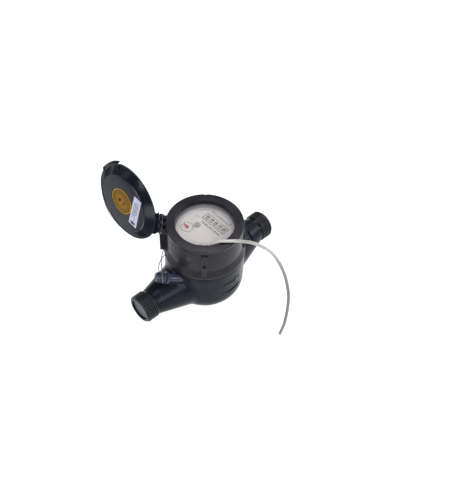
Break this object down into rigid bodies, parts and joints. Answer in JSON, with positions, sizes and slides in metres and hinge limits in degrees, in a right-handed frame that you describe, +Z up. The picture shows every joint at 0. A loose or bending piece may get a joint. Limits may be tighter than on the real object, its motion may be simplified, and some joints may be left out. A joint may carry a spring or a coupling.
{
  "type": "water meter",
  "caption": "Multi-jet water meter with threaded ends, dry dial under a lens, hinged lid stood open, flow regulator plug with seal wire and a pulse cable.",
  "frame": {"origin": "centre of the flat base under the bowl", "axes": "+X along the water flow from inlet to outlet, +Z up through the dial"},
  "size_m": [0.1906, 0.2058, 0.1731],
  "materials": {
    "body_plastic": "moulded, fine grain",
    "ring_plastic": "moulded, satin",
    "lid_plastic": "moulded, satin",
    "strainer_plastic": "moulded",
    "chamber_plastic": "moulded",
    "wheel_plastic": "moulded",
    "gear_plastic": "moulded",
    "cup_plastic": "moulded",
    "jewel": "polished",
    "magnet": "sintered",
    "movement_brass": "satin",
    "steel": "drawn",
    "star_metal": "polished",
    "seal_rubber": "matt",
    "lens_glass": "clear",
    "dial_face": "printed",
    "bezel_plastic": "satin",
    "digit_black": "light drum, black figures",
    "digit_red": "light drum, red figures",
    "hand_red": "gloss",
    "badge_foil": "foil",
    "label_film": "printed film",
    "sensor_plastic": "moulded",
    "cable_sheath": "satin sheath"
  },
  "bodies": {
    "base": {"meter_body": "body_plastic", "inlet_strainer": "strainer_plastic", "jet_basket": "chamber_plastic", "pivot_pin": "steel", "chamber_cover": "chamber_plastic", "pressure_plate": "cup_plastic", "plate_gasket": "seal_rubber", "register_cup": "cup_plastic", "lower_plate": "movement_brass", "upper_plate": "movement_brass", "wheel_axle": "steel", "transfer_axle": "steel", "dial_plate": "dial_face", "dial_bezel": "bezel_plastic", "lens": "lens_glass", "lens_seal": "seal_rubber", "head_ring": "ring_plastic", "hinge_pin": "steel", "regulator_plug": "body_plastic", "plug_washer": "seal_rubber", "seal_wire": "steel", "pulse_sensor": "sensor_plastic", "pulse_cable": "cable_sheath"},
    "lid_body": {"lid": "lid_plastic", "lid_badge": "badge_foil", "lid_label": "label_film"},
    "rotor": {"vane_wheel": "wheel_plastic", "pivot_jewel": "jewel", "wheel_magnet": "magnet"},
    "driven": {"driven_magnet": "magnet", "drive_pinion": "movement_brass"},
    "star": {"star_gear": "gear_plastic", "flow_star": "star_metal"},
    "hand": {"hand_gear": "gear_plastic", "red_hand": "hand_red"},
    "worm": {"worm_gear": "gear_plastic"},
    "digit_1": {"number_wheel_1": "digit_black"},
    "digit_2": {"number_wheel_2": "digit_black"},
    "digit_3": {"number_wheel_3": "digit_black"},
    "digit_4": {"number_wheel_4": "digit_red"},
    "digit_5": {"number_wheel_5": "digit_red"},
    "transfer_1": {"transfer_pinion_1": "gear_plastic"},
    "transfer_2": {"transfer_pinion_2": "gear_plastic"},
    "transfer_3": {"transfer_pinion_3": "gear_plastic"},
    "transfer_4": {"transfer_pinion_4": "gear_plastic"}
  },
  "joints": [
    {"name": "lid_hinge", "type": "hinge", "parent": "base", "child": "lid_body", "pos_m": [-0.03408, 0.03178, 0.103], "axis": [0.682, 0.7314, 0], "range_deg": [0, 126.5]},
    {"name": "rotor_spin", "type": "hinge", "parent": "base", "child": "rotor", "pos_m": [0, 0, 0.028], "axis": [0, 0, 1], "continuous": true},
    {"name": "driven_spin", "type": "hinge", "parent": "base", "child": "driven", "pos_m": [0, 0, 0.066], "axis": [0, 0, 1], "continuous": true},
    {"name": "star_spin", "type": "hinge", "parent": "base", "child": "star", "pos_m": [-0.002, 0.01, 0.08], "axis": [0, 0, 1], "continuous": true},
    {"name": "hand_spin", "type": "hinge", "parent": "base", "child": "hand", "pos_m": [-0.01186, 0.01572, 0.08], "axis": [0, 0, 1], "continuous": true},
    {"name": "worm_spin", "type": "hinge", "parent": "base", "child": "worm", "pos_m": [0.00568, -0.01803, 0.08], "axis": [0, 0, 1], "continuous": true},
    {"name": "digit_1_spin", "type": "hinge", "parent": "base", "child": "digit_1", "pos_m": [0.0137, 0.0106, 0.0869], "axis": [0, 1, 0], "continuous": true},
    {"name": "digit_2_spin", "type": "hinge", "parent": "base", "child": "digit_2", "pos_m": [0.0137, 0.0044, 0.0869], "axis": [0, 1, 0], "continuous": true},
    {"name": "digit_3_spin", "type": "hinge", "parent": "base", "child": "digit_3", "pos_m": [0.0137, -0.0018, 0.0869], "axis": [0, 1, 0], "continuous": true},
    {"name": "digit_4_spin", "type": "hinge", "parent": "base", "child": "digit_4", "pos_m": [0.0137, -0.008, 0.0869], "axis": [0, 1, 0], "continuous": true},
    {"name": "digit_5_spin", "type": "hinge", "parent": "base", "child": "digit_5", "pos_m": [0.0137, -0.0142, 0.0869], "axis": [0, 1, 0], "continuous": true},
    {"name": "transfer_1_spin", "type": "hinge", "parent": "base", "child": "transfer_1", "pos_m": [0.0212, 0.0075, 0.0859], "axis": [0, 1, 0], "continuous": true},
    {"name": "transfer_2_spin", "type": "hinge", "parent": "base", "child": "transfer_2", "pos_m": [0.0212, 0.0013, 0.0859], "axis": [0, 1, 0], "continuous": true},
    {"name": "transfer_3_spin", "type": "hinge", "parent": "base", "child": "transfer_3", "pos_m": [0.0212, -0.0049, 0.0859], "axis": [0, 1, 0], "continuous": true},
    {"name": "transfer_4_spin", "type": "hinge", "parent": "base", "child": "transfer_4", "pos_m": [0.0212, -0.0111, 0.0859], "axis": [0, 1, 0], "continuous": true}
  ],
  "couplings": [
    {"joint": "driven_spin", "follows": "rotor_spin", "ratio": 1},
    {"joint": "star_spin", "follows": "rotor_spin", "ratio": -0.41667},
    {"joint": "hand_spin", "follows": "rotor_spin", "ratio": 0.11111},
    {"joint": "worm_spin", "follows": "rotor_spin", "ratio": -0.75},
    {"joint": "digit_1_spin", "follows": "rotor_spin", "ratio": 0.00000375},
    {"joint": "digit_2_spin", "follows": "rotor_spin", "ratio": 0.0000375},
    {"joint": "digit_3_spin", "follows": "rotor_spin", "ratio": 0.000375},
    {"joint": "digit_4_spin", "follows": "rotor_spin", "ratio": 0.00375},
    {"joint": "digit_5_spin", "follows": "rotor_spin", "ratio": 0.0375},
    {"joint": "transfer_1_spin", "follows": "rotor_spin", "ratio": -0.000009375},
    {"joint": "transfer_2_spin", "follows": "rotor_spin", "ratio": -0.00009375},
    {"joint": "transfer_3_spin", "follows": "rotor_spin", "ratio": -0.0009375},
    {"joint": "transfer_4_spin", "follows": "rotor_spin", "ratio": -0.009375}
  ]
}
